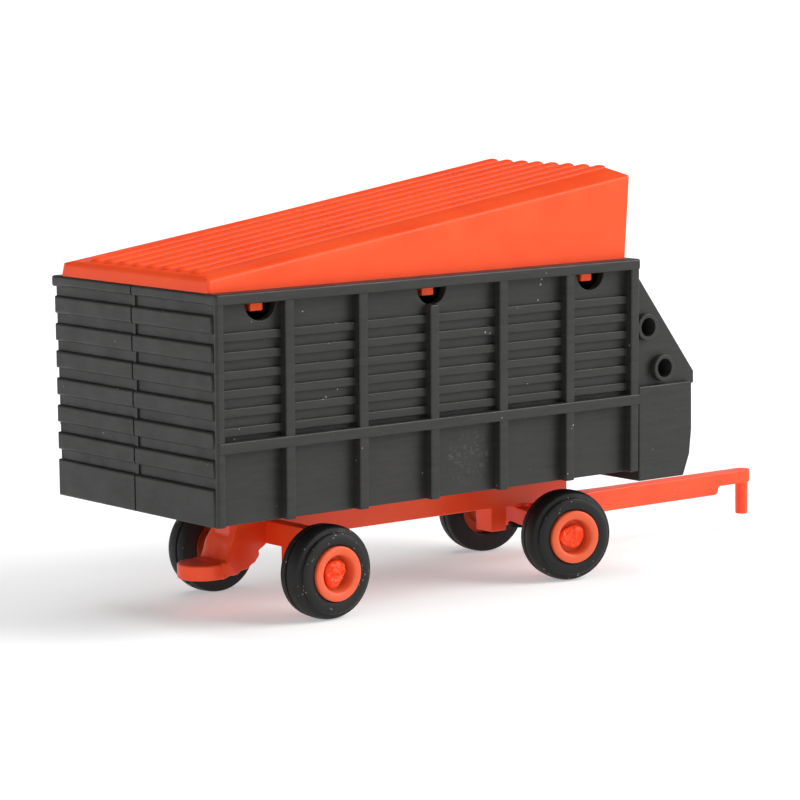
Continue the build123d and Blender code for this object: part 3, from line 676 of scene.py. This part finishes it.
def runningGear():
    bm = bmesh.new()
    half = gear["spineHalf"]
    low = gear["spineLow"]
    rear, front = gear["spineRear"], gear["spineFront"]
    step, under = boxLength - 0.1, floorZ - 0.02
    addPrism(bm, [(rear, low), (front, low), (front, gear["spineTop"]), (step, gear["spineTop"]), (step, under),
                  (rear, under)], (-half, half), 0.2, 3)
    tabX = gear["tabX"]
    tabLow, tabHigh = gear["tabZ"]
    neck = bmesh.new()
    addPrism(neck, [(tabX + ahead, z) for ahead, z in gear["neck"]], (-half, half), 0.25, 3)
    rippleOver(neck, gear["melt"])
    wider, wideFrom, wideRun = gear["neckWiden"]
    for vert in neck.verts:                  # widens towards the tab
        vert.co.y *= 1 + wider * max(0, min(1, (tabX + wideFrom - vert.co.x) / wideRun))
    joinInto(bm, neck)
    addDrum(bm, gear["tab"], tabLow, tabHigh, x=tabX, soft=0.3)
    x = (gear["rearAxle"] - gear["bolsterHalf"], gear["rearAxle"] + gear["bolsterHalf"])
    addBlock(bm, x, (-gear["stubStart"], gear["stubStart"]), gear["bolster"], 0.2, 3)
    for side in (-1, 1):
        y = sorted((side * gear["legStart"], side * gear["stubStart"]))
        addBlock(bm, x, y, (gear["legLow"], gear["bolster"][1]), 0.2, 3)
    lugRear, lugFront, lugLow = gear["lug"]
    addBlock(bm, (lugRear, lugFront), (-half, half), (lugLow, low + 0.3), 0.2, 3)
    addBlock(bm, (gear["root"], front), (-half, half), (gear["bar"][0], low + 0.3), 0.2, 3)
    barLow, barHigh = gear["bar"]
    bar = bmesh.new()
    tip = gear["pinX"]
    wide = gear["barHalf"]
    taper = front + gear["barTaper"]
    stepX, stepZ = gear["plate"]
    addPrism(bar, [(front - 0.5, barLow), (stepX - 0.5, barLow), (stepX - 0.1, barLow + 0.35), (stepX, stepZ - 0.3),
                   (stepX + 0.25, stepZ), (tip, stepZ), (tip, barHigh), (front - 0.5, barHigh)], (-half, half), 0)
    bmesh.ops.bisect_plane(bar, geom=bar.verts[:] + bar.edges[:] + bar.faces[:], plane_co=(taper, 0, 0),
                           plane_no=(1, 0, 0))
    bmesh.ops.scale(bar, vec=(1, wide / half, 1), verts=[v for v in bar.verts if v.co.x > taper - 0.01])
    roundEdges(bar, [e for e in edgesOf(bar.faces, 40) if min(v.co.x for v in e.verts) < tip - 0.1], 0.22, 3)
    addDrum(bar, wide, stepZ, barHigh, x=tip, soft=0.22)
    joinInto(bm, bar)
    addDrum(bm, gear["pin"] * 0.95, gear["pinLow"], barHigh - 0.6, x=tip, tip=gear["pin"], soft=0.15)
    axle = bmesh.new()
    addStubs(axle, 0.4, (0.4, -2.6))         # a focus below: the ridges lie across
    bmesh.ops.translate(axle, vec=(gear["rearAxle"], 0, 0), verts=axle.verts)
    joinInto(bm, axle)
    holes = [(gear["tabHole"], tabLow - 1, tabHigh - 0.3, tabX)]         # skinned over on top
    screwRadius, screwDepth = gear["screwHole"]
    holes += [(screwRadius, low - 1, low + screwDepth, place) for place in box["screws"]]
    return cutRound(bm, holes)


def steeredAxle():
    bm = bmesh.new()
    half = gear["beamHalf"]
    low, high = gear["beam"]
    addBlock(bm, (-half, half), (-gear["stubStart"], gear["stubStart"]), (low, high), 0.2, 3)
    for side in (-1, 1):
        y = sorted((side * gear["legStart"], side * gear["stubStart"]))
        addBlock(bm, (-half, half), y, (gear["legLow"], high), 0.2, 3)
    addDrum(bm, half - 0.02, high - 0.3, high + 0.38, soft=0.05)
    addStubs(bm, 2.1, (2.2, 0.2))            # a focus ahead: the ridges stand up
    return cutRound(bm, [(gear["kingpinHole"], 0, 12, 0)])


steerPlace = Matrix.Translation((gear["frontAxle"], 0, 0)) @ Matrix.Rotation(math.radians(gear["steer"]), 4, "Z")
addPiece(runningGear(), "runningGear", gearPlastic, "wagon", ["chassis_frame"])
addPiece(steeredAxle(), "steeredAxle", gearPlastic, "steering_axle", ["front_axle"], steerPlace)
print("running gear done")


# ---- wheels

wheel = {
    "hubStart": 11.82, "barrel": 14.2, "hub": 2.0, "rimFace": 16.77, "rim": 3.71, "recess": 2.47, "hubEnd": 14.92,
    "bore": 1.27, "rimSteps": 72, "tyreSteps": 96,
    "tyre": [(12.1, 3.71), (11.92, 3.95), (11.84, 4.5), (11.84, 5.3), (11.9, 5.95), (12.06, 6.17), (12.4, 6.25),
             (12.9, 6.3), (13.14, 6.31), (13.2, 6.2), (13.22, 5.88), (13.36, 5.78), (13.5, 5.88), (13.52, 6.24),
             (13.6, 6.34), (14.2, 6.35), (14.8, 6.3), (15.3, 6.18), (15.58, 6.05), (15.66, 5.92), (15.68, 5.52),
             (15.78, 5.42), (15.92, 5.48), (16.1, 5.48), (16.24, 5.36), (16.36, 5.1), (16.42, 4.7), (16.42, 4.1),
             (16.34, 3.85), (16.2, 3.71)],
}


def turned(profile, steps):
    # a closed outline of (distance out to the right, radius) turned about the axle
    bm = bmesh.new()
    ring = [bm.verts.new((radius, -out, 0)) for out, radius in profile]
    edges = [bm.edges.new(pair) for pair in zip(ring, ring[1:] + ring[:1])]
    bmesh.ops.spin(bm, geom=ring + edges, cent=(0, 0, 0), axis=(0, 1, 0), angle=2 * math.pi, steps=steps,
                   use_merge=True)
    bmesh.ops.remove_doubles(bm, verts=bm.verts, dist=0.0005)
    bmesh.ops.recalc_face_normals(bm, faces=bm.faces)
    return bm


def rimShape():
    inner, outer = wheel["hubStart"], wheel["rimFace"]
    rim, recess, barrel = wheel["rim"], wheel["recess"], wheel["barrel"]
    hub, hubEnd, bore = wheel["hub"], wheel["hubEnd"], wheel["bore"]
    return turned([(inner, bore), (inner, hub - 0.1), (inner + 0.1, hub), (barrel - 0.2, hub), (barrel, hub + 0.2),
                   (barrel, rim), (outer - 0.18, rim), (outer - 0.06, rim - 0.07), (outer, rim - 0.22),
                   (outer, recess + 0.3), (outer - 0.08, recess + 0.12), (outer - 0.28, recess),
                   (hubEnd + 0.3, recess - 0.06), (hubEnd, recess - 0.3), (hubEnd, bore)], wheel["rimSteps"])


rearPlace = Matrix.Translation((gear["rearAxle"], 0, gear["axleZ"]))
frontPlace = steerPlace @ Matrix.Translation((0, 0, gear["axleZ"]))
# left wheels are turned round, and sit slid in on their stubs
turnedIn = Matrix.Rotation(math.pi, 4, "Z") @ Matrix.Translation((0, gear["slide"], 0))
corners = {"rear_right": rearPlace, "rear_left": rearPlace @ turnedIn,
           "front_right": frontPlace, "front_left": frontPlace @ turnedIn}
for corner, place in corners.items():
    body = "wheel_" + corner
    addPiece(rimShape(), "rimShell_" + corner, rimPlastic, body, ["rim_" + corner], place)
    tyre = turned(wheel["tyre"], wheel["tyreSteps"])
    addPiece(tyre, "tyreShell_" + corner, tyreVinyl, body, ["tyre_" + corner], place)
print("wheels done")


# ---- pins and screws keep their own shapes

for node, finish in (("kingpin", blackedSteel), ("body_screw_rear", platedSteel), ("body_screw_front", platedSteel)):
    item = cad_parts[node]
    item.data.materials.clear()
    item.data.materials.append(finish)
